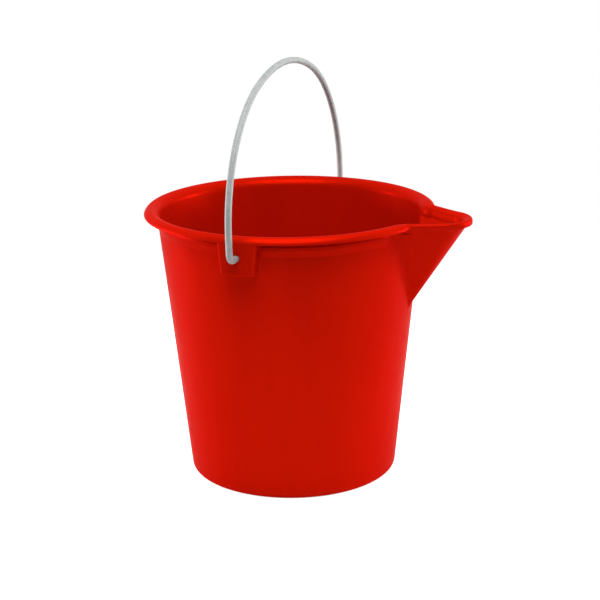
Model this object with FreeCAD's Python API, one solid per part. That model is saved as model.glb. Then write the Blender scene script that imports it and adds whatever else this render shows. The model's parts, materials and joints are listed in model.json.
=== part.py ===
"""Ten-litre wash bucket with a pouring spout and a swinging wire bail.

One moulded bucket and one bent wire.  Millimetres, +Z up, origin on the bucket's
axis at the bottom of its foot ring.  The spout points along +X, and the bail
swings about an axis along Y.
"""
import FreeCAD, Part
import math
import os

# Bucket: overall
HEIGHT = 263.0            # foot ring to the crest of the rim
RIM_RADIUS = 140.0        # outer edge of the rim
BASE_RADIUS = 101.5       # wall, just above the rounded bottom corner
WALL = 2.3                # wall thickness

# Bucket: base
BASE_ROUND = 5.0          # outer corner between wall and foot ring
FOOT_WIDTH = 6.0          # flat width of the foot ring
FOOT_RECESS = 3.0         # how far the floor's underside stands above the ground
FOOT_SLOPE = 1.5          # sideways run of the foot ring's inner face
FLOOR = 2.6               # floor thickness
FLOOR_ROUND = 6.0         # inner corner between floor and wall

# Bucket: rolled rim
RIM_DEPTH = 6.5           # crest to the lower edge of the rim
RIM_EDGE_ROUND = 5.1      # outer rounding of the rim
FLARE_ROUND = 10.0        # inner rounding, from the crest down into the wall
RING_PROUD = 1.2          # stiffening ring under the rim
RING_TOP = 11.0           # crest to the top of the stiffening ring
RING_HEIGHT = 3.4
RING_FADE = 6.0           # length over which the ring runs out into the wall

# Spout
SPOUT_DROP = 3.0          # crest of the spout's lip below the rim's crest
SPOUT_TIP = 175.5         # crest line at the tip
SPOUT_NOSE = 27.9         # plan radius of the crest line round the tip
SPOUT_HALF_ANGLE = 27.9   # plan angle between the axis of the spout and its sides, degrees
SPOUT_KEEL_X = 118.6      # where the keel runs out into the wall
SPOUT_KEEL_DEPTH = 93.0
SPOUT_SKIN = 0.7          # outer face of the spout's side, outside the crest line
SPOUT_WALL = 2.6          # spout's wall, measured in plan
SPOUT_KEEL_WALL = 5.0     # spout's wall, measured down at its keel
LIP_OUTER = 2.9           # lip's outer face, outside the crest line
LIP_INNER = 2.2           # lip's inner face, inside the crest line
LIP_DEPTH = 6.0
SPOUT_REACH_IN = 100.0    # how far inwards the spout's solids are carried before trimming

# Lugs that hold the bail
PIVOT_DEPTH = 19.5        # crest of the rim down to the bail's axis
LUG_TOP_HALF = 18.7
LUG_FOOT_HALF = 15.5
LUG_DEPTH = 35.5          # crest of the rim down to the lug's foot
LUG_TOP = 3.3             # the lug starts this far below the crest
LUG_FACE = 139.8          # radius of the lug's outer face
LUG_FRONT_WALL = 4.2
LUG_SIDE_WALL = 2.6
LUG_EDGE_ROUND = 2.0
LUG_STOCK = 0.2           # left on the lug's flat face before it is turned to its radius
LUG_REACH_IN = 112.0      # how far inwards the lug is carried before trimming
HOLE_RADIUS = 3.4

# Bail: one bent wire
WIRE_RADIUS = 3.0
BAIL_HALF_WIDTH = 153.8   # axis of the bucket to the middle of a leg
BAIL_RISE = 155.5         # pivot to the middle of the wire at the crown
CROWN_RADIUS = 200.0
LEG_TOP = 22.0            # pivot to the top of the straight leg
BEND_RADIUS = 8.0         # bend between leg and pivot pin
PIN_END = 130.6           # axis of the bucket to the pin's end
PIN_CHAMFER = 0.8
BAIL_LEAN = 1.0           # the bail at rest leans this far away from the spout, degrees

# Levels and angles that follow from the above
FLARE_Z = HEIGHT - FLARE_ROUND
FLOOR_TOP = FOOT_RECESS + FLOOR
PIVOT_Z = HEIGHT - PIVOT_DEPTH
CREST_RADIUS = RIM_RADIUS - RIM_EDGE_ROUND

# Working values
HEADROOM = 40.0           # cutting solids stand this far above the rim
OVERRUN = 1.0             # and run this far past the faces they cut
CLOSE_TO = 0.01           # for finding an edge by where it lies
TOUCHING = 1e-6           # ends this near each other need no line between them


def draft_angle():
    """Angle of the wall from vertical: tangent to the bottom corner and to the flare."""
    run = CREST_RADIUS - (BASE_RADIUS - BASE_ROUND)
    rise = FLARE_Z - BASE_ROUND
    between_centres = math.hypot(run, rise)
    radii = BASE_ROUND + FLARE_ROUND - WALL
    return math.atan2(run, rise) - math.asin(radii / between_centres)


DRAFT = draft_angle()
CORNER_X = BASE_RADIUS - BASE_ROUND


def wall_radius(z, inset=0.0):
    """Radius of the wall's outer face at height z, moved inwards by inset."""
    at_corner = CORNER_X + (BASE_ROUND - inset) / math.cos(DRAFT)
    return at_corner + (z - BASE_ROUND) * math.tan(DRAFT)


def point(x, z):
    return FreeCAD.Vector(x, 0.0, z)


def line(start, end):
    return Part.LineSegment(start, end).toShape()


def on_circle(centre, radius, degrees):
    angle = math.radians(degrees)
    return point(centre[0] + radius * math.cos(angle), centre[1] + radius * math.sin(angle))


def arc(centre, radius, start_deg, end_deg):
    """Arc in the XZ plane, from one angle to the other, and its two ends."""
    start = on_circle(centre, radius, start_deg)
    middle = on_circle(centre, radius, (start_deg + end_deg) / 2)
    end = on_circle(centre, radius, end_deg)
    return Part.Arc(start, middle, end).toShape(), start, end


def chain(pieces):
    """Closed wire through arcs (edge, start, end) and loose points, joined by lines."""
    edges = []
    ends = [(p[1], p[2]) if isinstance(p, tuple) else (p, p) for p in pieces]
    for index, piece in enumerate(pieces):
        if isinstance(piece, tuple):
            edges.append(piece[0])
        following = ends[(index + 1) % len(pieces)]
        if ends[index][1].distanceToPoint(following[0]) > TOUCHING:
            edges.append(line(ends[index][1], following[0]))
    return Part.Wire(edges)


def revolve(wire):
    return Part.Face(wire).revolve(FreeCAD.Vector(), FreeCAD.Vector(0, 0, 1), 360)


def bucket_shell():
    """Wall, floor, foot ring and rolled rim as one turned section."""
    lean = math.degrees(DRAFT)
    foot_inner = CORNER_X - FOOT_WIDTH
    floor_corner_z = FLOOR_TOP + FLOOR_ROUND
    floor_corner_x = wall_radius(floor_corner_z, WALL) - FLOOR_ROUND / math.cos(DRAFT)
    rim_edge_z = HEIGHT - RIM_EDGE_ROUND
    ring_top_z = HEIGHT - RING_TOP
    ring_low_z = ring_top_z - RING_HEIGHT
    section = [
        point(0, FOOT_RECESS),
        point(foot_inner - FOOT_SLOPE, FOOT_RECESS),
        point(foot_inner, 0),
        arc((CORNER_X, BASE_ROUND), BASE_ROUND, -90, -lean),
        point(wall_radius(ring_low_z - RING_FADE), ring_low_z - RING_FADE),
        point(wall_radius(ring_low_z) + RING_PROUD, ring_low_z),
        point(wall_radius(ring_top_z) + RING_PROUD, ring_top_z),
        arc((CREST_RADIUS, FLARE_Z), FLARE_ROUND - WALL, 180 - lean, 90),
        arc((CREST_RADIUS, rim_edge_z), RIM_EDGE_ROUND - WALL, 90, 0),
        point(RIM_RADIUS - WALL, HEIGHT - RIM_DEPTH),
        point(RIM_RADIUS, HEIGHT - RIM_DEPTH),
        arc((CREST_RADIUS, rim_edge_z), RIM_EDGE_ROUND, 0, 90),
        arc((CREST_RADIUS, FLARE_Z), FLARE_ROUND, 90, 180 - lean),
        arc((floor_corner_x, floor_corner_z), FLOOR_ROUND, -lean, -90),
        point(0, FLOOR_TOP),
    ]
    return revolve(chain(section))


def bucket_inside():
    """The room inside the wall and the flare, carried straight up past the rim."""
    top = HEIGHT + HEADROOM
    return revolve(chain([
        point(0, FLOOR_TOP),
        point(wall_radius(FLOOR_TOP, WALL) - FLOOR_ROUND, FLOOR_TOP),
        point(wall_radius(FLOOR_TOP + FLOOR_ROUND, WALL), FLOOR_TOP + FLOOR_ROUND),
        arc((CREST_RADIUS, FLARE_Z), FLARE_ROUND, 180 - math.degrees(DRAFT), 90),
        point(CREST_RADIUS, top),
        point(0, top),
    ]))


def spout_path(offset, z):
    """Side, nose and side of the spout in plan, offset outwards from its crest line."""
    angle = math.radians(SPOUT_HALF_ANGLE)
    centre_x = SPOUT_TIP - SPOUT_NOSE
    radius = SPOUT_NOSE + offset
    touch_x = centre_x + radius * math.sin(angle)
    touch_y = radius * math.cos(angle)
    root_y = touch_y + (touch_x - SPOUT_REACH_IN) * math.tan(angle)
    near = FreeCAD.Vector(SPOUT_REACH_IN, -root_y, z)
    near_touch = FreeCAD.Vector(touch_x, -touch_y, z)
    nose = FreeCAD.Vector(centre_x + radius, 0, z)
    far_touch = FreeCAD.Vector(touch_x, touch_y, z)
    far = FreeCAD.Vector(SPOUT_REACH_IN, root_y, z)
    return [
        line(near, near_touch),
        Part.Arc(near_touch, nose, far_touch).toShape(),
        line(far_touch, far),
    ]


def spout_outline(offset, z):
    edges = spout_path(offset, z)
    edges.append(line(edges[2].Vertexes[1].Point, edges[0].Vertexes[0].Point))
    return Part.Wire(edges)


def spout_cone(offset, keel_lift):
    """Solid that narrows from the spout's outline at the rim to the foot of its keel."""
    top = HEIGHT - SPOUT_DROP - RIM_EDGE_ROUND / 2
    foot = Part.Vertex(SPOUT_KEEL_X - keel_lift / 2, 0, HEIGHT - SPOUT_KEEL_DEPTH + keel_lift)
    return Part.makeLoft([foot, spout_outline(offset, top)], True, True)


def spout_opening():
    """Channel through wall and rim: the inner cone and a prism above it."""
    channel = spout_cone(SPOUT_SKIN - SPOUT_WALL, SPOUT_KEEL_WALL)
    base = HEIGHT - SPOUT_DROP - RIM_EDGE_ROUND / 2
    outline = Part.Face(spout_outline(SPOUT_SKIN - SPOUT_WALL, base))
    return channel.fuse(outline.extrude(FreeCAD.Vector(0, 0, HEADROOM)))


def spout_lip():
    """Rounded lip along the spout's sides and round its tip."""
    top = HEIGHT - SPOUT_DROP
    half = (LIP_OUTER + LIP_INNER) / 2
    shoulder = top - half
    foot = top - LIP_DEPTH
    path = Part.Wire(spout_path(0.0, top))
    start = path.Edges[0].Vertexes[0].Point
    angle = math.radians(SPOUT_HALF_ANGLE)
    outwards = FreeCAD.Vector(-math.sin(angle), -math.cos(angle), 0)

    def place(out, z):
        spot = start + outwards * out
        return FreeCAD.Vector(spot.x, spot.y, z)

    outer = place(LIP_OUTER, shoulder)
    inner = place(-LIP_INNER, shoulder)
    crest = place((LIP_OUTER - LIP_INNER) / 2, top)
    outer_foot = place(LIP_OUTER, foot)
    inner_foot = place(-LIP_INNER, foot)
    profile = Part.Wire([
        Part.Arc(inner, crest, outer).toShape(),
        line(outer, outer_foot),
        line(outer_foot, inner_foot),
        line(inner_foot, inner),
    ])
    sweep = path.makePipeShell([profile], True, False)
    below_rim = FreeCAD.Vector(0, 0, HEIGHT - HEADROOM)
    inside_rim = Part.makeCylinder(CREST_RADIUS - LIP_OUTER, 2 * HEADROOM, below_rim)
    return sweep.cut(inside_rim)


def lug_block(top_half, foot_half, face, top_z, foot_z):
    """Tapered block under the front of the rim, from the wall out to radius face."""
    corners = []
    for half, z in ((foot_half, foot_z), (top_half, top_z)):
        corners.append(Part.makePolygon([
            FreeCAD.Vector(-half, -face, z),
            FreeCAD.Vector(half, -face, z),
            FreeCAD.Vector(half, -LUG_REACH_IN, z),
            FreeCAD.Vector(-half, -LUG_REACH_IN, z),
            FreeCAD.Vector(-half, -face, z),
        ]))
    return Part.makeLoft(corners, True, True)


def upright_edges(solid, at_y):
    """Edges of a block that run from its foot to its top along its face at y = -at_y."""
    found = []
    for edge in solid.Edges:
        first = edge.Vertexes[0].Point
        last = edge.Vertexes[-1].Point
        on_face = abs(first.y + at_y) < CLOSE_TO and abs(last.y + at_y) < CLOSE_TO
        if on_face and abs(first.z - last.z) > LUG_TOP:
            found.append(edge)
    return found


def lug():
    """Hollow lug, open below, with a hole for the bail's pin."""
    top_z = HEIGHT - LUG_TOP
    foot_z = HEIGHT - LUG_DEPTH
    flat_face = LUG_FACE + LUG_STOCK
    block = lug_block(LUG_TOP_HALF, LUG_FOOT_HALF, flat_face, top_z, foot_z)
    block = block.makeFillet(LUG_EDGE_ROUND, upright_edges(block, flat_face))
    turned = Part.makeCylinder(LUG_FACE, LUG_DEPTH, FreeCAD.Vector(0, 0, foot_z))
    pocket = lug_block(
        LUG_TOP_HALF - LUG_SIDE_WALL,
        LUG_FOOT_HALF - LUG_SIDE_WALL,
        LUG_FACE - LUG_FRONT_WALL,
        top_z,
        foot_z - OVERRUN,
    )
    hole = Part.makeCylinder(
        HOLE_RADIUS,
        RIM_RADIUS - PIN_END,
        FreeCAD.Vector(0, -RIM_RADIUS - OVERRUN, PIVOT_Z),
        FreeCAD.Vector(0, 1, 0),
    )
    return block.common(turned).cut(pocket).cut(hole)


def bucket_body():
    front_lug = lug()
    rear_lug = front_lug.copy()
    rear_lug.rotate(FreeCAD.Vector(), FreeCAD.Vector(0, 0, 1), 180)
    body = bucket_shell().fuse([spout_cone(SPOUT_SKIN, 0.0), spout_lip(), front_lug, rear_lug])
    body = body.cut(bucket_inside()).cut(spout_opening())
    return body.removeSplitter()


def bail_path():
    """Middle line of the wire in the YZ plane: pin, bend, leg, arch, leg, bend, pin."""
    crown_centre = BAIL_RISE - CROWN_RADIUS
    reach = LEG_TOP - crown_centre
    spare = CROWN_RADIUS ** 2 - BAIL_HALF_WIDTH ** 2 - reach ** 2
    shoulder = spare / (2 * (CROWN_RADIUS - BAIL_HALF_WIDTH))
    centre_y = BAIL_HALF_WIDTH - shoulder
    turn = math.atan2(centre_y, reach)

    def spot(y, up):
        return FreeCAD.Vector(0, y, PIVOT_Z + up)

    def on_arc(y, up, radius, angle):
        return spot(y + radius * math.sin(angle), up + radius * math.cos(angle))

    def half(side):
        diagonal = math.radians(45)
        middle = (turn + math.pi / 2) / 2
        bend_in = spot(side * (BAIL_HALF_WIDTH - BEND_RADIUS), 0)
        bend_mid = spot(
            side * (BAIL_HALF_WIDTH - BEND_RADIUS * (1 - math.sin(diagonal))),
            BEND_RADIUS * (1 - math.cos(diagonal)),
        )
        bend_out = spot(side * BAIL_HALF_WIDTH, BEND_RADIUS)
        leg_top = spot(side * BAIL_HALF_WIDTH, LEG_TOP)
        arch_mid = on_arc(side * centre_y, LEG_TOP, shoulder, side * middle)
        arch_end = on_arc(side * centre_y, LEG_TOP, shoulder, side * turn)
        return [
            line(spot(side * PIN_END, 0), bend_in),
            Part.Arc(bend_in, bend_mid, bend_out).toShape(),
            line(bend_out, leg_top),
            Part.Arc(leg_top, arch_mid, arch_end).toShape(),
        ], arch_end

    front, front_end = half(-1)
    rear, rear_end = half(1)
    crown = Part.Arc(front_end, spot(0, BAIL_RISE), rear_end).toShape()
    return Part.Wire(front + [crown] + rear[::-1])


def bail_handle():
    pin_end = FreeCAD.Vector(0, -PIN_END, PIVOT_Z)
    section = Part.Wire(Part.makeCircle(WIRE_RADIUS, pin_end, FreeCAD.Vector(0, 1, 0)))
    wire = bail_path().makePipeShell([section], True, False)
    rims = [edge for edge in wire.Edges if abs(abs(edge.CenterOfMass.y) - PIN_END) < CLOSE_TO]
    handle = wire.makeChamfer(PIN_CHAMFER, [edge for edge in rims if len(edge.Vertexes) == 1])
    handle.rotate(FreeCAD.Vector(0, 0, PIVOT_Z), FreeCAD.Vector(0, 1, 0), -BAIL_LEAN)
    return handle


def main():
    os.makedirs("parts", exist_ok=True)
    for name, shape in (("bucket_body", bucket_body()), ("bail_handle", bail_handle())):
        solid = shape.Solids[0]
        print(name, "valid", solid.isValid(), "solids", len(shape.Solids), "volume", solid.Volume)
        solid.exportStep("parts/%s.step" % name)


main()
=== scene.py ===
"""Looks of the wash bucket: its moulding, its wire bail, their materials and a plain studio.

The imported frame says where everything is. Shapes are worked out in millimetres, with
+Z up, the spout along +X and the bail's pivot along Y, and are turned into metres when
a mesh is made.
"""
import json
import math

import bmesh
import bpy
import numpy as np
from mathutils import Matrix, Vector


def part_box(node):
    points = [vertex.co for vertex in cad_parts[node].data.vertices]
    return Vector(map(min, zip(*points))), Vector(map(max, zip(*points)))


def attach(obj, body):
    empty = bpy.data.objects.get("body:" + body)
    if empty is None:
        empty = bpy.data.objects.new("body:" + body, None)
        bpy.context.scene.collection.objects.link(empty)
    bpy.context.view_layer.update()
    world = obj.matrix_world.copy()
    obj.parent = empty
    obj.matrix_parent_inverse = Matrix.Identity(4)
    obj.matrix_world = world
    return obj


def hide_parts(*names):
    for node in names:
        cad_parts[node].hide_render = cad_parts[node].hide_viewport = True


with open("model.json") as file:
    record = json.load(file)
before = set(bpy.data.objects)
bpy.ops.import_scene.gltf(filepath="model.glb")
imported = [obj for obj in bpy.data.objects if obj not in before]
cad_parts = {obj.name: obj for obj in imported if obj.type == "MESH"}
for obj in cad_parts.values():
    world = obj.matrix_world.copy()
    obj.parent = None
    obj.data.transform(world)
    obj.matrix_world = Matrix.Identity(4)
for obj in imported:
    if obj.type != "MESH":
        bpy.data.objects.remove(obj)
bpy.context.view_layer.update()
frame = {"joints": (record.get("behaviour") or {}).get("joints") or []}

MM = 0.001

# What the frame says, in millimetres
body_low, body_high = (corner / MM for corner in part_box("bucket_body"))
wire_low, wire_high = (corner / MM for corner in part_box("bail_handle"))
swing = frame["joints"][0]
HEIGHT = round(body_high.z, 1)
RIM_RADIUS = round(-body_low.x, 0)
PIVOT_Z = swing["pos_m"][2] / MM
WIRE_RADIUS = round(PIVOT_Z - wire_low.z, 1)
BAIL_HALF_WIDTH = round(wire_high.y, 1) - WIRE_RADIUS
BAIL_RISE = round(wire_high.z - WIRE_RADIUS - PIVOT_Z, 1)

# Wall and base
BASE_RADIUS = 101.5
WALL = 2.3
BASE_ROUND = 5.0
FOOT_WIDTH = 6.0
FOOT_RECESS = 3.0
FOOT_SLOPE = 1.5
FOOT_EDGE = 0.7           # rounding of the foot ring's inner edges
FLOOR = 2.6
FLOOR_ROUND = 6.0
GATE_RADIUS = 6.5         # dimple round the moulding's gate, under the floor
GATE_DEPTH = 0.5
GATE_STUB = 1.3
GATE_BEVEL = 0.2

# Rolled rim and the ring under it
RIM_EDGE_ROUND = 5.1
RIM_FLATNESS = 0.45       # how far the rolled face is flattened towards a plain slope
RIM_DEPTH = 6.5
RIM_LOWER_ROUND = 0.8
FLARE_ROUND = 10.0
RING_PROUD = 1.2
RING_TOP = 11.0           # below the crest
RING_HEIGHT = 3.4
RING_FADE = 6.0           # heights over which it grows out of the wall, and goes back in
RING_TOP_FADE = 1.925
RING_TURN = math.radians(4.0)      # azimuths over which it runs out beside the spout

# Spout
SPOUT_DROP = 3.0
SPOUT_TIP = 175.5
SPOUT_NOSE = 27.9
SPOUT_SIDE = math.radians(27.9)
SPOUT_SKIN = 0.7                   # its skin stands this far out from the crest line
SPOUT_WALL = 2.6
SPOUT_END = math.radians(60.0)     # no part of it is further round than this
KEEL_FOOT = (118.6, 93.0)          # distance from the axis, depth below the crest
CHANNEL_FOOT = (116.1, 88.0)       # the same for the channel inside
KEEL_ROUND = 3.0                   # smallest plan radius of the keel
BELOW_SPOUT = 8.0                  # the mesh is finer down to this far under both feet
LIP_OUTER = 2.9
LIP_INNER = 2.2
LIP_DEPTH = 6.0
LIP_EDGE = 0.8
LIP_FACE = (1.3, 0.4)              # flat outer face: above its lower edge, below its crown's centre
LIP_INSIDE = (1.0, 6.0)            # flat inner face: below the crown's centre, below the lower edge
LIP_MELT_DEPTH = 4.5               # how much deeper the lip runs out along the spout's sides
LIP_MELT_POWER = 1.7               # more than 1 makes that face hollow
LIP_MELT_HEIGHT = 0.98             # share of the face's height that its last point comes up to
LIP_MELTS = math.radians(4.0)      # azimuths over which its lower edge melts into the side
LIP_MELTED = math.radians(9.5)
ROOT_BLEND = (2.8, 4.2)            # how far wall and spout flow together, at foot and rim
LIP_STARTS = math.radians(24.5)    # azimuths over which the rim turns into the spout's lip
LIP_WHOLE = math.radians(13.5)
DROP_STARTS = math.radians(27.0)   # azimuths over which the crest drops to the spout
DROP_WHOLE = math.radians(8.0)

# Mesh of the moulding
SPOUT_SPAN = math.radians(26.0)    # its columns are close together this far each way
SPOUT_COLUMNS = 132
REST_COLUMNS = 155
RECESS_RADII = (9, 18, 34, 52, 70, 82)
FLOOR_RADII = (84, 74, 60, 44, 28, 14, 6)
LOW_ROWS = 15                      # outside, from the corner up past the keel's foot
WALL_ROWS = 50                     # on to the ring
RING_ROWS = 22                     # and over the ring to the rim
CHANNEL_ROWS = 56                  # inside, from the rim down past the channel's foot
LOW_INSIDE_ROWS = 15               # and on to the floor
CREST_STEP = math.radians(0.02)    # for the direction in which the crest runs
OUTER_FACE = 27                    # points of rim and lip before the crest's rounding
TO_WALL = 9.0                      # points over which the rim's section bends to meet the wall
TO_INSIDE = 14.0                   # and, at its other end, the wall's inside
SHARP_ANGLE = math.radians(40.0)

# Lugs
LUG_TOP_HALF = 18.7
LUG_FOOT_HALF = 15.5
LUG_TOP_DEPTH = 3.3
LUG_DEPTH = 35.5
LUG_FACE = 139.8
LUG_FRONT_WALL = 4.2
LUG_SIDE_WALL = 2.6
LUG_CORNER = 2.0
LUG_ROOT = 2.2
LUG_EDGE = 0.5
LUG_SINK = 0.9                     # how far its skin goes on into the wall
LUG_IN_RIM = 0.6                   # how far its face goes on into the rim
LUG_HIDDEN_TOP = (3.6, 1.6)        # its top row, inside the rim: below the crest, behind the face
LUG_POINTS = (12, 6, 6, 8)         # along half its face, its corner, its side and its root
LUG_ROWS = 16
POCKET_FACE = LUG_FACE - LUG_FRONT_WALL
POCKET_CORNER = 1.5
POCKET_ROOT = 1.5
POCKET_TOP_DEPTH = 3.0
POCKET_ROWS = 12
HOLE_RADIUS = 3.4
HOLE_EDGE = 0.5
CUTTER_MOUTH = (1.0, 1.4)          # the hole's cutter: how far out of the face, how much wider
CUTTER_END = 2.0                   # and how far past the front wall
CUTTER_SIDES = 40

# Bail
CROWN_RADIUS = 200.0
LEG_TOP = 22.0
BEND_RADIUS = 8.0
PIN_END = 130.6
PIN_CHAMFER = 0.8
PIN_ROUNDING = ((0.0, 1.0), (0.25, 0.55), (0.6, 0.2))    # rows over it: share along, share down
BAIL_LEAN = math.radians(1.0)      # away from the spout
BAIL_POINTS = (16, 44, 6, 14, 6)   # along half its crown, a shoulder, leg, bend and pin
WIRE_SIDES = 32

# What follows from these
CREST_RADIUS = RIM_RADIUS - RIM_EDGE_ROUND
CORNER_X = BASE_RADIUS - BASE_ROUND
FLOOR_TOP = FOOT_RECESS + FLOOR
SPOUT_TOP = HEIGHT - SPOUT_DROP - RIM_EDGE_ROUND / 2


def draft_angle():
    """Angle of the wall from vertical: tangent to the bottom corner and to the flare."""
    run = CREST_RADIUS - CORNER_X
    rise = HEIGHT - FLARE_ROUND - BASE_ROUND
    radii = BASE_ROUND + FLARE_ROUND - WALL
    return math.atan2(run, rise) - math.asin(radii / math.hypot(run, rise))


DRAFT = draft_angle()


# ---------------------------------------------------------------- mesh helpers

def smoothstep(x):
    """From 0 to 1 with a smooth start and end."""
    x = np.clip(x, 0.0, 1.0)
    return x * x * (3.0 - 2.0 * x)


def smooth_max(a, b, width):
    """The larger of a and b, with the corner between them rounded over width."""
    near = np.clip(1.0 - np.abs(a - b) / width, 0.0, 1.0)
    return np.maximum(a, b) + width * near ** 2 / 4.0


def arc(centre, radius, start_deg, end_deg, count):
    """Points of an arc in a plane, ends included."""
    angles = np.radians(np.linspace(start_deg, end_deg, count))
    x, y = centre
    return [(x + radius * math.cos(a), y + radius * math.sin(a)) for a in angles]


def straight(start, end, count):
    """Points of a line, ends included."""
    return [tuple(p) for p in np.linspace(start, end, count)]


class Builder:
    """Collects points and faces in millimetres and makes one mesh object of them."""

    def __init__(self):
        self.points = []
        self.faces = []
        self.count = 0

    def add(self, points):
        """Stores points and returns their numbers."""
        points = np.asarray(points, float).reshape(-1, 3)
        self.points.append(points)
        first = self.count
        self.count += len(points)
        return np.arange(first, self.count)

    def strip(self, lower, upper, closed=True):
        """Faces between two rows of points; lower to upper and along a row is outwards."""
        last = len(lower) if closed else len(lower) - 1
        for i in range(last):
            j = (i + 1) % len(lower)
            self.faces.append((lower[i], lower[j], upper[j], upper[i]))

    def fan(self, row, centre, flip=False):
        """Triangles from a closed row of points to one in its middle."""
        for i in range(len(row)):
            j = (i + 1) % len(row)
            face = (row[i], row[j], centre)
            self.faces.append(face[::-1] if flip else face)

    def cap(self, row):
        """One flat face over a row of points."""
        self.faces.append(tuple(int(i) for i in row))

    def make(self, name):
        """The mesh object, in metres and linked to the scene."""
        mesh = bpy.data.meshes.new(name)
        mesh.from_pydata((np.concatenate(self.points) * MM).tolist(), [], self.faces)
        mesh.validate()
        mesh.update()
        piece = bpy.data.objects.new(name, mesh)
        bpy.context.scene.collection.objects.link(piece)
        return piece


def shade(piece):
    """Smooth shading, with sharp edges kept crisp."""
    mesh = piece.data
    mesh.polygons.foreach_set("use_smooth", [True] * len(mesh.polygons))
    mesh.set_sharp_from_angle(angle=SHARP_ANGLE)


# ---------------------------------------------------------------- bucket's moulding

def wall_radius(z, inset=0.0):
    """Radius of the wall's outer face, or of one inset from it."""
    at_corner = CORNER_X + (BASE_ROUND - inset) / math.cos(DRAFT)
    return at_corner + (z - BASE_ROUND) * math.tan(DRAFT)


def ring_height(azimuth, z):
    """How far the stiffening ring stands off the wall, run out beside the spout."""
    top = HEIGHT - RING_TOP
    low = top - RING_HEIGHT
    rise = np.clip((z - (low - RING_FADE)) / RING_FADE, 0.0, 1.0)
    fall = np.clip(1.0 - (z - top) / RING_TOP_FADE, 0.0, 1.0)
    beside_spout = smoothstep((np.abs(azimuth) - LIP_STARTS) / RING_TURN)
    return RING_PROUD * np.minimum(rise, fall) * beside_spout


def spout_reach(azimuth, z, offset, foot):
    """From the bucket's axis to the spout's skin, which narrows down to its foot.

    In plan the skin is a round nose between two straight sides that touch it.
    """
    foot_x, foot_depth = foot
    share = (z - (HEIGHT - foot_depth)) / (SPOUT_TOP - (HEIGHT - foot_depth))
    tip = foot_x + (SPOUT_TIP + offset - foot_x) * share
    nose = np.hypot((SPOUT_NOSE + offset) * np.maximum(share, 0.0), KEEL_ROUND)
    centre = tip - nose
    turn = np.abs(azimuth)
    ahead = turn < SPOUT_END
    turn = np.minimum(turn, SPOUT_END)
    side = (centre * math.sin(SPOUT_SIDE) + nose) / np.sin(turn + SPOUT_SIDE)
    touch = np.arctan2(nose * math.cos(SPOUT_SIDE), centre + nose * math.sin(SPOUT_SIDE))
    chord = np.sqrt(np.maximum(nose ** 2 - (centre * np.sin(turn)) ** 2, 0.0))
    front = centre * np.cos(turn) + chord
    return np.where(ahead, np.where(turn < touch, front, side), 0.0)


def root_blend(z):
    """How far wall and spout flow together at a height."""
    low = HEIGHT - KEEL_FOOT[1]
    share = np.clip((z - low) / (HEIGHT - low), 0.0, 1.0)
    return ROOT_BLEND[0] + (ROOT_BLEND[1] - ROOT_BLEND[0]) * share


def outer_radius(azimuth, z):
    """From the axis to the outer skin of wall, ring and spout."""
    wall = wall_radius(z) + ring_height(azimuth, z)
    return smooth_max(wall, spout_reach(azimuth, z, SPOUT_SKIN, KEEL_FOOT), root_blend(z))


def inner_radius(azimuth, z):
    """From the axis to the inner skin of wall and spout."""
    wall = wall_radius(z, WALL)
    channel = spout_reach(azimuth, z, SPOUT_SKIN - SPOUT_WALL, CHANNEL_FOOT)
    return smooth_max(wall, channel, root_blend(z))


def crest_radius(azimuth):
    """From the axis to the line along the top of rim and lip."""
    reach = spout_reach(azimuth, SPOUT_TOP, 0.0, KEEL_FOOT)
    return smooth_max(CREST_RADIUS, reach, ROOT_BLEND[1])


def columns():
    """Azimuths of the mesh's columns: close together across the spout."""
    spout = np.linspace(-SPOUT_SPAN, SPOUT_SPAN, SPOUT_COLUMNS + 1)[:-1]
    rest = np.linspace(SPOUT_SPAN, 2 * math.pi - SPOUT_SPAN, REST_COLUMNS + 1)[:-1]
    return np.concatenate([spout, rest])


def signed(azimuth):
    """The azimuth counted from -180 to 180 degrees."""
    return (azimuth + math.pi) % (2 * math.pi) - math.pi


def rim_section():
    """The rolled rim, from the wall's outside over the crest to its inside.

    Points are (outwards from the crest line, up from the crest). They number as many as
    the spout's lip has, with the same 14 over the crest's rounding.
    """
    lean = math.degrees(DRAFT)
    bottom = -RIM_DEPTH + RIM_LOWER_ROUND
    inner_face = RIM_EDGE_ROUND - WALL
    part = arc((0, -FLARE_ROUND), FLARE_ROUND - WALL, 180 - lean, 90, 10)
    part += arc((0, -RIM_EDGE_ROUND), inner_face, 90, 0, 8)[1:]
    part += arc((inner_face + RIM_LOWER_ROUND, bottom), RIM_LOWER_ROUND, 180, 270, 5)
    part += arc((RIM_EDGE_ROUND - RIM_LOWER_ROUND, bottom), RIM_LOWER_ROUND, 270, 360, 5)
    round_face = np.array(arc((0, -RIM_EDGE_ROUND), RIM_EDGE_ROUND, 0, 90, 14))
    chord = np.linspace(round_face[0], round_face[-1], 14)
    part += list(round_face * (1 - RIM_FLATNESS) + chord * RIM_FLATNESS)
    part += arc((0, -FLARE_ROUND), FLARE_ROUND, 90, 180 - lean, 17)[1:]
    return np.array(part)


def lip_section():
    """The spout's lip, point for point with the rim."""
    half = (LIP_OUTER + LIP_INNER) / 2
    middle = (LIP_OUTER - LIP_INNER) / 2
    foot = -LIP_DEPTH
    inside = SPOUT_SKIN - SPOUT_WALL
    part = arc((SPOUT_SKIN + LIP_EDGE, foot - LIP_EDGE), LIP_EDGE, 180, 90, 10)
    part += arc((LIP_OUTER - LIP_EDGE, foot + LIP_EDGE), LIP_EDGE, 270, 360, 7)
    part += straight((LIP_OUTER, foot + LIP_FACE[0]), (LIP_OUTER, -half - LIP_FACE[1]), 10)
    part += arc((middle, -half), half, 0, 90, 14)
    part += arc((middle, -half), half, 90, 180, 10)[1:]
    part += straight((-LIP_INNER, -half - LIP_INSIDE[0]), (inside, foot - LIP_INSIDE[1]), 7)
    return np.array(part)


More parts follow.
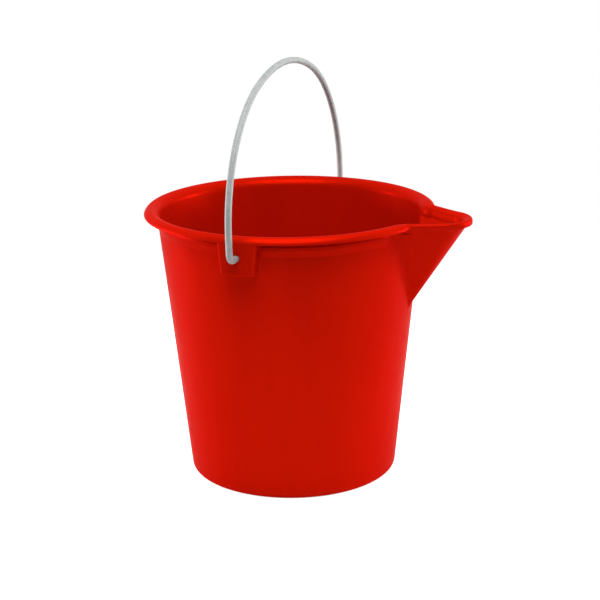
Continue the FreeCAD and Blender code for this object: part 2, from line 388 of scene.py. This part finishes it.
def melted_lip(lip):
    """The lip along the spout's sides, where its outer face runs out into the skin."""
    lip = lip.copy()
    share = np.linspace(0.0, 1.0, OUTER_FACE)
    reach, height = lip[OUTER_FACE]
    low = -LIP_DEPTH - LIP_MELT_DEPTH
    lip[:OUTER_FACE, 0] = SPOUT_SKIN + (reach - SPOUT_SKIN) * share ** LIP_MELT_POWER
    lip[:OUTER_FACE, 1] = low + (height - low) * share * LIP_MELT_HEIGHT
    return lip


def rim_rows(azimuth):
    """Rows of points over the rim and the spout's lip, and the heights of its two ends."""

    def on_crest(turned):
        radius = crest_radius(signed(turned))
        return np.stack([radius * np.cos(turned), radius * np.sin(turned)], 1)

    crest = on_crest(azimuth)
    along = on_crest(azimuth + CREST_STEP) - on_crest(azimuth - CREST_STEP)
    along /= np.linalg.norm(along, axis=1)[:, None]
    outwards = np.stack([along[:, 1], -along[:, 0]], 1)
    radial = np.stack([np.cos(azimuth), np.sin(azimuth)], 1)
    facing = (outwards * radial).sum(1)
    turn = np.abs(signed(azimuth))
    lip = smoothstep((LIP_STARTS - turn) / (LIP_STARTS - LIP_WHOLE))
    melt = smoothstep((turn - LIP_MELTS) / (LIP_MELTED - LIP_MELTS))
    rim, spout = rim_section(), lip_section()
    side = melted_lip(spout)
    top = HEIGHT - SPOUT_DROP * smoothstep((DROP_STARTS - turn) / (DROP_STARTS - DROP_WHOLE))

    def place(index):
        lip_point = spout[index, :, None] * (1 - melt) + side[index, :, None] * melt
        out, up = rim[index, :, None] * (1 - lip) + lip_point * lip
        return out, top + up

    last = len(rim) - 1
    out_first, z_first = place(0)
    out_last, z_last = place(last)
    radius = crest_radius(signed(azimuth))
    miss_outside = (outer_radius(signed(azimuth), z_first) - radius) * facing - out_first
    miss_inside = (inner_radius(signed(azimuth), z_last) - radius) * facing - out_last
    rows = []
    for index in range(len(rim)):
        out, z = place(index)
        at_wall = smoothstep(1 - index / TO_WALL) * (1 - melt * lip)
        at_wall += max(0.0, 1 - index / OUTER_FACE) * melt * lip
        out = out + miss_outside * at_wall
        out = out + miss_inside * smoothstep(1 - (last - index) / TO_INSIDE)
        plan = crest + outwards * out[:, None]
        rows.append(np.column_stack([plan, z]))
    return rows, z_first, z_last


def turned_row(azimuth, radius, z):
    """Points round the bucket's axis."""
    height = np.broadcast_to(z, azimuth.shape)
    return np.column_stack([radius * np.cos(azimuth), radius * np.sin(azimuth), height])


def underside():
    """Radius and height of the base's underside, from the gate out to the wall.

    Points less than 2 mm from an edge round it off.
    """
    foot_inner = CORNER_X - FOOT_WIDTH
    lean = math.degrees(DRAFT)
    roof = FOOT_RECESS + GATE_DEPTH
    slope_top = foot_inner - FOOT_SLOPE
    part = [
        (0.8 * GATE_STUB, FOOT_RECESS - GATE_BEVEL),
        (GATE_STUB, FOOT_RECESS),
        (1.1 * GATE_STUB, roof),
        (GATE_RADIUS - 1.5, roof),
        (GATE_RADIUS - 0.5, roof - GATE_BEVEL),
        (GATE_RADIUS, FOOT_RECESS),
    ]
    part += [(r, FOOT_RECESS) for r in RECESS_RADII]
    part += [
        (slope_top - 1.2, FOOT_RECESS),
        (slope_top - 0.1, FOOT_RECESS - FOOT_EDGE / 2),
        (foot_inner - 0.45, FOOT_EDGE),
        (foot_inner - 0.05, 0.2),
        (foot_inner + FOOT_EDGE, 0.0),
        (foot_inner + FOOT_WIDTH / 2, 0.0),
    ]
    part += arc((CORNER_X, BASE_ROUND), BASE_ROUND, -90, -lean, 9)
    return part


def floor_inside():
    """Radius and height of the floor's top side, from the wall in to the middle."""
    lean = math.degrees(DRAFT)
    corner_z = FLOOR_TOP + FLOOR_ROUND
    corner_x = wall_radius(corner_z, WALL) - FLOOR_ROUND / math.cos(DRAFT)
    part = arc((corner_x, corner_z), FLOOR_ROUND, -lean, -90, 10)
    part += [(r, FLOOR_TOP) for r in FLOOR_RADII]
    return part


def bucket_rows():
    """All rows of the moulding's mesh, from the middle underneath to the floor's middle."""
    azimuth = columns()
    around = signed(azimuth)
    rim, z_outer, z_inner = rim_rows(azimuth)
    floor = floor_inside()
    keel_z = HEIGHT - KEEL_FOOT[1] - BELOW_SPOUT
    channel_z = HEIGHT - CHANNEL_FOOT[1] - BELOW_SPOUT
    ring_z = HEIGHT - RING_TOP - RING_HEIGHT - RING_FADE

    def outside(z):
        return turned_row(azimuth, outer_radius(around, z), z)

    def inside(z):
        return turned_row(azimuth, inner_radius(around, z), z)

    rows = [turned_row(azimuth, radius, z) for radius, z in underside()]
    rows += [outside(z) for z in np.linspace(rows[-1][0, 2], keel_z, LOW_ROWS)[1:]]
    rows += [outside(z) for z in np.linspace(keel_z, ring_z, WALL_ROWS)[1:]]
    for share in np.linspace(0, 1, RING_ROWS)[1:-1]:
        rows.append(outside(ring_z + (z_outer - ring_z) * share))
    rows += rim
    for share in np.linspace(0, 1, CHANNEL_ROWS)[1:]:
        rows.append(inside(z_inner + (channel_z - z_inner) * share))
    rows += [inside(z) for z in np.linspace(channel_z, floor[0][1], LOW_INSIDE_ROWS)[1:-1]]
    rows += [turned_row(azimuth, radius, z) for radius, z in floor]
    return rows


def add_moulding(build):
    """Wall, base, rim and spout as one closed skin."""
    rows = [build.add(row) for row in bucket_rows()]
    for lower, upper in zip(rows, rows[1:]):
        build.strip(lower, upper)
    middle_below = build.add([(0, 0, FOOT_RECESS - GATE_BEVEL)])[0]
    middle_above = build.add([(0, 0, FLOOR_TOP)])[0]
    build.fan(rows[0], middle_below, flip=True)
    build.fan(rows[-1], middle_above)


# ---------------------------------------------------------------- lugs

def lug_half(z):
    """Half the lug's width at a height."""
    low = HEIGHT - LUG_DEPTH
    high = HEIGHT - LUG_TOP_DEPTH
    return LUG_FOOT_HALF + (LUG_TOP_HALF - LUG_FOOT_HALF) * (z - low) / (high - low)


def wall_or_flare(z):
    """Radius of the wall's outer face, and above it of the flare that carries the rim."""
    above = z - (HEIGHT - FLARE_ROUND)
    flare = FLARE_ROUND - WALL
    if above < flare * math.sin(DRAFT):
        return wall_radius(z)
    return CREST_RADIUS - math.sqrt(max(flare ** 2 - above ** 2, 0.0))


def lug_outline(z, half, face, corner, root, inset, turn):
    """Plan outline of a lug's skin, from wall to wall: x sideways and y outwards.

    half is its half width and face its distance from the axis. corner and root are its
    roundings, and inset draws it in at the lower edge. turn is 1 where the root's
    rounding opens away from the lug, as outside, and -1 in the pocket.
    """
    wall = wall_or_flare(z)
    face_corner = face - corner
    corner_x = half - corner
    lean = math.asin(corner_x / face_corner)
    corner_y = face_corner * math.cos(lean)
    root_x = half + turn * root
    root_y = math.sqrt((wall + root) ** 2 - root_x ** 2)
    grown = root + inset
    to_axis = math.atan2(-root_y, -root_x)
    start = math.pi if turn > 0 else 0.0
    sweep = (to_axis - start + math.pi) % (2 * math.pi) - math.pi
    face_now = face - turn * inset
    corner_now = corner - turn * inset
    half_now = half - turn * inset
    on_face, on_corner, on_side, on_root = LUG_POINTS
    across = np.linspace(0, lean, on_face)
    points = [(face_now * math.sin(a), face_now * math.cos(a)) for a in across]
    for a in np.linspace(math.pi / 2 - lean, 0, on_corner)[1:]:
        points.append((corner_x + corner_now * math.cos(a), corner_y + corner_now * math.sin(a)))
    for y in np.linspace(corner_y, root_y, on_side)[1:]:
        points.append((half_now, y))
    for share in np.linspace(0, 1, on_root)[1:]:
        a = start + sweep * share
        points.append((root_x + grown * math.cos(a), root_y + grown * math.sin(a)))
    end = np.array(points[-1])
    points.append(tuple(end * (1 - LUG_SINK / np.linalg.norm(end))))
    right = np.array(points)
    left = right[:0:-1] * (-1, 1)
    return np.concatenate([left, right])


def lug_rows():
    """Rows of a lug's skin: down its outside, round its lower edge and up into the pocket."""
    foot = HEIGHT - LUG_DEPTH
    in_rim = HEIGHT - RIM_DEPTH + LUG_IN_RIM
    quarter = np.radians((22.5, 45, 67.5, 90))
    rows = []

    def add(z, *shape):
        plan = lug_outline(z, *shape)
        rows.append(np.column_stack([plan[:, 0], -plan[:, 1], np.full(len(plan), z)]))

    def outside(z, face, inset=0.0):
        add(z, lug_half(z), face, LUG_CORNER, LUG_ROOT, inset, 1)

    def inside(z, inset=0.0):
        half = lug_half(z) - LUG_SIDE_WALL
        add(z, half, POCKET_FACE, POCKET_CORNER, POCKET_ROOT, inset, -1)

    outside(HEIGHT - LUG_HIDDEN_TOP[0], LUG_FACE - LUG_HIDDEN_TOP[1])
    for z in np.linspace(in_rim, foot + LUG_EDGE, LUG_ROWS):
        outside(z, LUG_FACE)
    for a in quarter:
        outside(foot + LUG_EDGE * (1 - math.sin(a)), LUG_FACE, LUG_EDGE * (1 - math.cos(a)))
    for a in quarter[::-1]:
        inside(foot + LUG_EDGE * (1 - math.sin(a)), LUG_EDGE * (1 - math.cos(a)))
    for z in np.linspace(foot + LUG_EDGE, HEIGHT - POCKET_TOP_DEPTH, POCKET_ROWS):
        inside(z)
    return rows


def lathe_y(build, profile):
    """A closed solid turned about the bail's pivot axis from (distance out along -Y, radius).

    None of its points lies on the lug's middle line, where the lug has points of its own.
    """
    angles = (np.arange(CUTTER_SIDES) + 0.5) * 2 * math.pi / CUTTER_SIDES
    rows = []
    for out, radius in profile:
        x = radius * np.cos(angles)
        z = PIVOT_Z + radius * np.sin(angles)
        rows.append(build.add(np.column_stack([x, np.full(CUTTER_SIDES, -out), z])))
    for lower, upper in zip(rows, rows[1:]):
        build.strip(lower, upper)
    build.cap(rows[0][::-1])
    build.cap(rows[-1])


def pierced(piece, cutter):
    """Cuts the cutter out of the piece and removes the cutter."""
    cut = piece.modifiers.new("hole", "BOOLEAN")
    cut.operation = "DIFFERENCE"
    cut.solver = "EXACT"
    cut.object = cutter
    bpy.context.view_layer.update()
    seen = piece.evaluated_get(bpy.context.evaluated_depsgraph_get())
    mesh = bpy.data.meshes.new_from_object(seen)
    piece.modifiers.clear()
    piece.data = mesh
    bpy.data.objects.remove(cutter)


def make_lug():
    """The front lug, with its hole."""
    build = Builder()
    rows = [build.add(row) for row in lug_rows()]
    for lower, upper in zip(rows, rows[1:] + rows[:1]):
        build.strip(lower, upper, closed=False)
    build.cap(row[0] for row in rows)
    build.cap(row[-1] for row in rows[::-1])
    lug = build.make("lug")
    profile = [(POCKET_FACE - CUTTER_END, HOLE_RADIUS)]
    for a in np.radians((0, 20, 40, 60, 80)):
        out = LUG_FACE - HOLE_EDGE * (1 - math.sin(a))
        profile.append((out, HOLE_RADIUS + HOLE_EDGE * (1 - math.cos(a))))
    profile.append((LUG_FACE + CUTTER_MOUTH[0], HOLE_RADIUS + CUTTER_MOUTH[1]))
    cutter = Builder()
    lathe_y(cutter, profile)
    pierced(lug, cutter.make("hole_cutter"))
    return lug


def join(target, *others):
    """Adds the others' meshes to the target's mesh and removes the others."""
    whole = bmesh.new()
    for piece in (target, *others):
        whole.from_mesh(piece.data)
    whole.to_mesh(target.data)
    whole.free()
    for piece in others:
        bpy.data.objects.remove(piece)


def make_bucket():
    """The moulding with both lugs, the rear one a copy of the front one."""
    build = Builder()
    add_moulding(build)
    bucket = build.make("bucket_moulding")
    front = make_lug()
    rear = front.copy()
    rear.data = front.data.copy()
    rear.data.transform(Matrix.Rotation(math.pi, 4, "Z"))
    bpy.context.scene.collection.objects.link(rear)
    join(bucket, front, rear)
    shade(bucket)
    return bucket


# ---------------------------------------------------------------- bail

def bail_line():
    """Middle line of the wire as (y, height over the pivot), from front pin to rear pin."""
    reach = LEG_TOP - (BAIL_RISE - CROWN_RADIUS)
    spare = CROWN_RADIUS ** 2 - BAIL_HALF_WIDTH ** 2 - reach ** 2
    shoulder = spare / (2 * (CROWN_RADIUS - BAIL_HALF_WIDTH))
    centre_y = BAIL_HALF_WIDTH - shoulder
    turn = math.degrees(math.atan2(centre_y, reach))
    bend_y = BAIL_HALF_WIDTH - BEND_RADIUS
    on_crown, on_shoulder, on_leg, on_bend, on_pin = BAIL_POINTS
    rear = arc((0, BAIL_RISE - CROWN_RADIUS), CROWN_RADIUS, 90, 90 - turn, on_crown)
    rear += arc((centre_y, LEG_TOP), shoulder, 90 - turn, 0, on_shoulder)[1:]
    rear += straight((BAIL_HALF_WIDTH, LEG_TOP), (BAIL_HALF_WIDTH, BEND_RADIUS), on_leg)[1:]
    rear += arc((bend_y, BEND_RADIUS), BEND_RADIUS, 0, -90, on_bend)[1:]
    rear += straight((bend_y, 0), (PIN_END + PIN_CHAMFER, 0), on_pin)[1:]
    line = np.array(rear)
    return np.concatenate([line[:0:-1] * (-1, 1), line])


def make_bail():
    """The wire as a round tube along its middle line, with rounded pin ends."""
    line = bail_line()
    along = np.gradient(line, axis=0)
    along /= np.linalg.norm(along, axis=1)[:, None]
    along[0] = (-1, 0)
    along[-1] = (-1, 0)
    angles = np.linspace(0, 2 * math.pi, WIRE_SIDES + 1)[:-1]
    build = Builder()
    rows = []

    def ring(middle, direction, radius):
        across = np.array((-direction[1], direction[0]))
        x = radius * np.cos(angles)
        y = middle[0] + radius * np.sin(angles) * across[0]
        up = middle[1] + radius * np.sin(angles) * across[1]
        leaned = x * math.cos(BAIL_LEAN) - up * math.sin(BAIL_LEAN)
        z = PIVOT_Z + up * math.cos(BAIL_LEAN) + x * math.sin(BAIL_LEAN)
        rows.append(build.add(np.column_stack([leaned, y, z])))

    def tip_ring(end, side, out, down):
        shift = np.array((side * PIN_CHAMFER * (1 - out), 0))
        ring(line[end] + shift, along[end], WIRE_RADIUS - PIN_CHAMFER * down)

    for out, down in PIN_ROUNDING:
        tip_ring(0, 1, out, down)
    for middle, direction in zip(line, along):
        ring(middle, direction, WIRE_RADIUS)
    for out, down in PIN_ROUNDING[::-1]:
        tip_ring(-1, -1, out, down)
    for lower, upper in zip(rows, rows[1:]):
        build.strip(upper, lower)
    build.cap(rows[0])
    build.cap(rows[-1][::-1])
    bail = build.make("bail_wire_rod")
    shade(bail)
    return bail


# ---------------------------------------------------------------- materials

def linear(red, green, blue):
    """A colour in linear light, with alpha."""
    return (red, green, blue, 1.0)


class Nodes:
    """Short forms for building a material's or the world's node tree."""

    def __init__(self, owner):
        owner.use_nodes = True
        self.tree = owner.node_tree
        self.tree.nodes.clear()

    def new(self, kind, **settings):
        """A node with some of its settings."""
        node = self.tree.nodes.new(kind)
        for name, value in settings.items():
            setattr(node, name, value)
        return node

    def link(self, source, target):
        self.tree.links.new(source, target)

    def noise(self, vector, scale, detail, roughness=0.5):
        """Noise with its middle at 0.5; the scale is per metre."""
        node = self.new("ShaderNodeTexNoise")
        node.inputs["Scale"].default_value = scale
        node.inputs["Detail"].default_value = detail
        node.inputs["Roughness"].default_value = roughness
        self.link(vector, node.inputs["Vector"])
        return node.outputs["Fac"]

    def stretched(self, vector, scale):
        """The vector, scaled along each axis; less than 1 draws a pattern out."""
        node = self.new("ShaderNodeMapping")
        node.inputs["Scale"].default_value = scale
        self.link(vector, node.inputs["Vector"])
        return node.outputs["Vector"]

    def ranged(self, value, low, high, to_low, to_high):
        """The value, taken smoothly from one range to another and kept inside it."""
        node = self.new("ShaderNodeMapRange", interpolation_type="SMOOTHSTEP")
        numbers = {"From Min": low, "From Max": high, "To Min": to_low, "To Max": to_high}
        for name, number in numbers.items():
            node.inputs[name].default_value = number
        self.link(value, node.inputs["Value"])
        return node.outputs["Result"]

    def math(self, operation, first, second):
        """An operation on an output and either a second one or a number."""
        node = self.new("ShaderNodeMath", operation=operation)
        for socket, value in zip(node.inputs, (first, second)):
            if isinstance(value, (int, float)):
                socket.default_value = value
            else:
                self.link(value, socket)
        return node.outputs["Value"]

    def mixed(self, share, first, second):
        """A mix of two colours, each a number triple with alpha or an output."""
        node = self.new("ShaderNodeMix", data_type="RGBA")
        self.link(share, node.inputs[0])
        for socket, value in zip(node.inputs[6:8], (first, second)):
            if isinstance(value, tuple):
                socket.default_value = value
            else:
                self.link(value, socket)
        return node.outputs[2]

    def bump(self, height, distance, normal=None):
        """A normal from a height pattern, on top of another bump's normal where given."""
        node = self.new("ShaderNodeBump")
        node.inputs["Distance"].default_value = distance
        node.inputs["Strength"].default_value = 1.0
        self.link(height, node.inputs["Height"])
        if normal is not None:
            self.link(normal, node.inputs["Normal"])
        return node.outputs["Normal"]

    def finish_surface(self, shader):
        """Makes the shader the material's surface."""
        output = self.new("ShaderNodeOutputMaterial")
        self.link(shader.outputs[0], output.inputs["Surface"])


# Noise patterns are (scale, detail) or (scale, detail, roughness)
NOISE_SPREAD = (0.3, 0.7)          # the values that most of a noise pattern has

PLASTIC_IOR = 1.05
PLASTIC_SPECULAR = 0.5
PLASTIC_TINT = (1.0, 0.10, 0.04)
PLASTIC_METALLIC = 0.25            # with the tint and the low IOR: its gloss is mostly red
PLASTIC_ROUGHNESS = (0.33, 0.40)
PLASTIC_DARK = (0.51, 0.0065, 0.0007)
PLASTIC_LIGHT = (0.55, 0.0075, 0.0009)
FLOW = (22.0, 3.0)                 # slow changes of colour, drawn out up the wall
FLOW_STRETCH = (1.0, 1.0, 0.25)
PATCHES = (60.0, 2.0)              # of duller and glossier skin
GRAIN = (1400.0, 2.0)
GRAIN_DEPTH = 0.00002              # metres, as all depths and heights here
RIPPLE = (55.0, 1.0)
RIPPLE_STRETCH = (1.0, 1.0, 0.3)
RIPPLE_DEPTH = 0.0002
RUB = (900.0, 3.0, 0.65)           # fine marks where foot and rim are rubbed
RUB_STRETCH = (1.0, 1.0, 0.12)
RUB_SHOWS = (0.52, 0.72)
RUBBED_FOOT = 0.012                # heights that are rubbed, from the ground and from the crest
RUBBED_RIM = 0.003
RIM_SHARE = 0.45                   # the rim is rubbed less than the foot
RUB_COLOUR = (0.86, 0.045, 0.02)
RUB_PALER = 0.35
RUB_ROUGHER = 0.2


def red_plastic():
    """Glossy moulded polypropylene: faint grain, flow, rubbed rim and foot."""
    material = bpy.data.materials.new("red_polypropylene")
    nodes = Nodes(material)
    place = nodes.new("ShaderNodeTexCoord").outputs["Object"]
    height = nodes.new("ShaderNodeSeparateXYZ")
    nodes.link(place, height.inputs[0])
    z = height.outputs["Z"]
    crest = HEIGHT * MM
    flow = nodes.noise(nodes.stretched(place, FLOW_STRETCH), *FLOW)
    share = nodes.ranged(flow, *NOISE_SPREAD, 0.0, 1.0)
    colour = nodes.mixed(share, linear(*PLASTIC_DARK), linear(*PLASTIC_LIGHT))
    rub = nodes.noise(nodes.stretched(place, RUB_STRETCH), *RUB)
    low = nodes.ranged(z, 0.0, RUBBED_FOOT, 1.0, 0.0)
    high = nodes.ranged(z, crest - RUBBED_RIM, crest, 0.0, RIM_SHARE)
    where = nodes.math("ADD", low, high)
    worn = nodes.math("MULTIPLY", where, nodes.ranged(rub, *RUB_SHOWS, 0.0, 1.0))
    colour = nodes.mixed(nodes.math("MULTIPLY", worn, RUB_PALER), colour, linear(*RUB_COLOUR))
    patches = nodes.ranged(nodes.noise(place, *PATCHES), *NOISE_SPREAD, *PLASTIC_ROUGHNESS)
    roughness = nodes.math("ADD", patches, nodes.math("MULTIPLY", worn, RUB_ROUGHER))
    grain = nodes.noise(place, *GRAIN)
    ripple = nodes.noise(nodes.stretched(place, RIPPLE_STRETCH), *RIPPLE)
    normal = nodes.bump(ripple, RIPPLE_DEPTH, nodes.bump(grain, GRAIN_DEPTH))
    shader = nodes.new("ShaderNodeBsdfPrincipled")
    nodes.link(colour, shader.inputs["Base Color"])
    nodes.link(roughness, shader.inputs["Roughness"])
    nodes.link(normal, shader.inputs["Normal"])
    shader.inputs["IOR"].default_value = PLASTIC_IOR
    shader.inputs["Specular IOR Level"].default_value = PLASTIC_SPECULAR
    shader.inputs["Specular Tint"].default_value = linear(*PLASTIC_TINT)
    shader.inputs["Metallic"].default_value = PLASTIC_METALLIC
    nodes.finish_surface(shader)
    return material


WIRE_DARK = (0.32, 0.337, 0.332)
WIRE_LIGHT = (0.37, 0.388, 0.383)
WIRE_METALLIC = 0.3
WIRE_ROUGHNESS = (0.60, 0.70)
BLOTCH = (160.0, 1.5)
BLOTCH_SPREAD = (0.35, 0.65)
SPANGLE = (700.0, 1.0)
SPANGLE_SPREAD = (0.4, 0.6)
SPANGLE_ROUGHER = 0.02
DRAWN = (350.0, 1.0)               # lines left by drawing the wire
DRAWN_STRETCH = (4.0, 0.3, 0.3)
DRAWN_DEPTH = 0.000012


def zinc_wire():
    """Dull zinc-plated wire: drawn lines along it, and faint blotches."""
    material = bpy.data.materials.new("zinc_plated_wire")
    nodes = Nodes(material)
    place = nodes.new("ShaderNodeTexCoord").outputs["Object"]
    blotch = nodes.noise(place, *BLOTCH)
    spangle = nodes.noise(place, *SPANGLE)
    share = nodes.ranged(blotch, *BLOTCH_SPREAD, 0.0, 1.0)
    colour = nodes.mixed(share, linear(*WIRE_DARK), linear(*WIRE_LIGHT))
    dull = nodes.ranged(blotch, *NOISE_SPREAD, *WIRE_ROUGHNESS)
    change = nodes.ranged(spangle, *SPANGLE_SPREAD, -SPANGLE_ROUGHER, SPANGLE_ROUGHER)
    roughness = nodes.math("ADD", dull, change)
    lines = nodes.noise(nodes.stretched(place, DRAWN_STRETCH), *DRAWN)
    normal = nodes.bump(lines, DRAWN_DEPTH)
    shader = nodes.new("ShaderNodeBsdfPrincipled")
    nodes.link(colour, shader.inputs["Base Color"])
    nodes.link(roughness, shader.inputs["Roughness"])
    nodes.link(normal, shader.inputs["Normal"])
    shader.inputs["Metallic"].default_value = WIRE_METALLIC
    nodes.finish_surface(shader)
    return material


# ---------------------------------------------------------------- studio

# Places and sizes are in metres

# The camera, as fitted to the photo's rim, base and wall
CAMERA_PLACE = (0.4894, -1.3204, 0.5787)
CAMERA_TURN = math.radians(20.0)
CAMERA_TILT = math.radians(90.0 - 16.31)
CAMERA_ROLL = math.radians(-0.79)
CAMERA_LENS = 90.0
CAMERA_SENSOR = 36.0

FLOOR_RINGS = (300, 900, 1800, 3000)    # millimetres, the last one its edge
FLOOR_SIDES = 96
FLOOR_Z = -0.2            # millimetres: clear of the foot ring's flat face
FLOOR_FADE = (0.40, 1.0)  # where the floor melts into the white around it
FLOOR_DARK = (0.90, 0.90, 0.90)
FLOOR_LIGHT = (0.92, 0.92, 0.92)
FLOOR_MOTTLE = (3.0, 2.0)
FLOOR_ROUGHNESS = 0.8
FLOOR_SPECULAR = 0.1
FLOOR_GLOW = 0.8          # plain white to the camera, without lighting the bucket

# The surround is white, and dark towards the side that the camera looks from
SURROUND_FRONT = 0.0
SURROUND_BACK = 0.80
SURROUND_TURN = (0.20, 0.55)       # cosines between which it changes, from the darkest direction
DIM_AZIMUTH = math.radians(-75.0)
DIM_HEIGHT = math.radians(25.0)

# Soft round lights, in watts
OVERHEAD_PLACE = (0.22, -0.62, 1.60)
OVERHEAD_SIZE = 1.4
OVERHEAD_POWER = 30.0
LEFT_PLACE = (-1.50, -0.15, 0.20)
LEFT_POWER = 16.5
RIGHT_PLACE = (1.25, 0.85, 0.30)
RIGHT_POWER = 16.0
SIDE_SIZE = 0.6
LIGHT_AIM = (0, 0, 0.15)


def make_camera():
    """The photo's view."""
    data = bpy.data.cameras.new("camera")
    data.lens = CAMERA_LENS
    data.sensor_width = CAMERA_SENSOR
    camera = bpy.data.objects.new("camera", data)
    turn = Matrix.Rotation(CAMERA_TURN, 4, "Z")
    tilt = Matrix.Rotation(CAMERA_TILT, 4, "X")
    roll = Matrix.Rotation(CAMERA_ROLL, 4, "Z")
    camera.matrix_world = Matrix.Translation(CAMERA_PLACE) @ turn @ tilt @ roll
    bpy.context.scene.collection.objects.link(camera)
    bpy.context.scene.camera = camera


def pale_floor():
    """Plain white, seen fading out into the surround's white."""
    material = bpy.data.materials.new("pale_floor")
    nodes = Nodes(material)
    place = nodes.new("ShaderNodeTexCoord").outputs["Object"]
    reach = nodes.new("ShaderNodeVectorMath", operation="LENGTH")
    nodes.link(place, reach.inputs[0])
    fade = nodes.ranged(reach.outputs["Value"], *FLOOR_FADE, 0.0, 1.0)
    shader = nodes.new("ShaderNodeBsdfPrincipled")
    mottle = nodes.noise(place, *FLOOR_MOTTLE)
    colour = nodes.mixed(mottle, linear(*FLOOR_DARK), linear(*FLOOR_LIGHT))
    nodes.link(colour, shader.inputs["Base Color"])
    shader.inputs["Roughness"].default_value = FLOOR_ROUGHNESS
    shader.inputs["Specular IOR Level"].default_value = FLOOR_SPECULAR
    shader.inputs["Emission Color"].default_value = linear(1.0, 1.0, 1.0)
    seen = nodes.new("ShaderNodeLightPath").outputs["Is Camera Ray"]
    nodes.link(nodes.math("MULTIPLY", seen, FLOOR_GLOW), shader.inputs["Emission Strength"])
    clear = nodes.new("ShaderNodeBsdfTransparent")
    blend = nodes.new("ShaderNodeMixShader")
    nodes.link(fade, blend.inputs[0])
    nodes.link(shader.outputs[0], blend.inputs[1])
    nodes.link(clear.outputs[0], blend.inputs[2])
    nodes.finish_surface(blend)
    material.cycles.emission_sampling = "NONE"    # otherwise the thin wire comes out grainy
    return material


def make_floor():
    """A wide disk under the bucket, which belongs to the stage."""
    build = Builder()
    angles = np.linspace(0, 2 * math.pi, FLOOR_SIDES + 1)[:-1]
    rows = [build.add(turned_row(angles, radius, FLOOR_Z)) for radius in FLOOR_RINGS]
    for inner, outer in zip(rows, rows[1:]):
        build.strip(outer, inner)
    build.cap(rows[0])
    floor = build.make("floor")
    floor.data.materials.append(pale_floor())


def make_surround():
    """White all round as the camera sees it, but its light is dimmer from the camera's side."""
    world = bpy.data.worlds.new("surround")
    bpy.context.scene.world = world
    nodes = Nodes(world)
    direction = nodes.new("ShaderNodeTexCoord").outputs["Generated"]
    toward = nodes.new("ShaderNodeVectorMath", operation="DOT_PRODUCT")
    nodes.link(direction, toward.inputs[0])
    level = math.cos(DIM_HEIGHT)
    dim = (level * math.cos(DIM_AZIMUTH), level * math.sin(DIM_AZIMUTH), math.sin(DIM_HEIGHT))
    toward.inputs[1].default_value = dim
    light = nodes.ranged(toward.outputs["Value"], *SURROUND_TURN, SURROUND_BACK, SURROUND_FRONT)
    seen = nodes.new("ShaderNodeLightPath").outputs["Is Camera Ray"]
    background = nodes.new("ShaderNodeBackground")
    background.inputs["Color"].default_value = linear(1.0, 1.0, 1.0)
    nodes.link(nodes.math("MAXIMUM", light, seen), background.inputs["Strength"])
    output = nodes.new("ShaderNodeOutputWorld")
    nodes.link(background.outputs[0], output.inputs["Surface"])
    bpy.context.scene.view_settings.view_transform = "Standard"


def make_softbox(name, place, size, power):
    """A round area light aimed at the bucket."""
    data = bpy.data.lights.new(name, "AREA")
    data.shape = "DISK"
    data.size = size
    data.energy = power
    light = bpy.data.objects.new(name, data)
    aim = (Vector(LIGHT_AIM) - Vector(place)).to_track_quat("-Z", "Y")
    light.matrix_world = Matrix.Translation(place) @ aim.to_matrix().to_4x4()
    light.visible_camera = False
    bpy.context.scene.collection.objects.link(light)


# ---------------------------------------------------------------- the whole scene

bucket = make_bucket()
bucket.data.materials.append(red_plastic())
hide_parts("bucket_body")
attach(bucket, "bucket")

bail = make_bail()
bail.data.materials.append(zinc_wire())
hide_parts("bail_handle")
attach(bail, "bail")

make_floor()
make_surround()
make_softbox("overhead", OVERHEAD_PLACE, OVERHEAD_SIZE, OVERHEAD_POWER)
make_softbox("left", LEFT_PLACE, SIDE_SIZE, LEFT_POWER)
make_softbox("right", RIGHT_PLACE, SIDE_SIZE, RIGHT_POWER)
make_camera()
